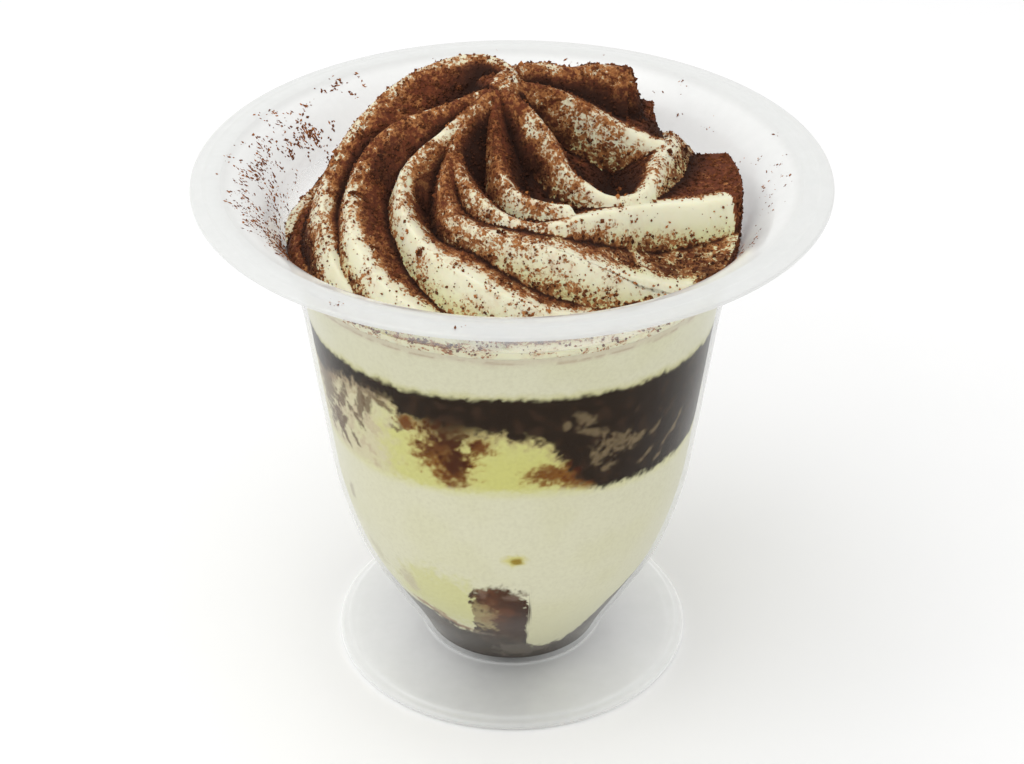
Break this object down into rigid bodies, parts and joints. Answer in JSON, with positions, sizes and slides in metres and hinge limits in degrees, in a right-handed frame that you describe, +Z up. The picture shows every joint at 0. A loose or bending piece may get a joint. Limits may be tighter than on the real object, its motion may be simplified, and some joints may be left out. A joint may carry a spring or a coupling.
{
  "type": "tiramisu cup",
  "caption": "Tiramisu in a clear footed dessert cup: soaked sponge and cream in layers under a piped cream swirl dusted with cocoa.",
  "frame": {"origin": "centre of the underside of the cup's foot, on the surface that it stands on", "axes": "+Z up along the cup's axis, -Y towards the viewer of the picture, +X to the right"},
  "size_m": [0.09, 0.09, 0.0918],
  "materials": {
    "cup_plastic": "clear, slightly hazy moulded plastic, glossy",
    "soaked_sponge": "coffee-soaked sponge, moist and crumbly, with pale yellow dry stretches",
    "cream": "smooth ivory cream",
    "dusted_cream": "whipped cream under a coarse dusting of reddish-brown cocoa"
  },
  "bodies": {
    "root": {"cup": "cup_plastic", "sponge_bottom": "soaked_sponge", "cream_lower": "cream", "sponge_upper": "soaked_sponge", "cream_upper": "cream", "cream_swirl": "dusted_cream"}
  },
  "joints": []
}
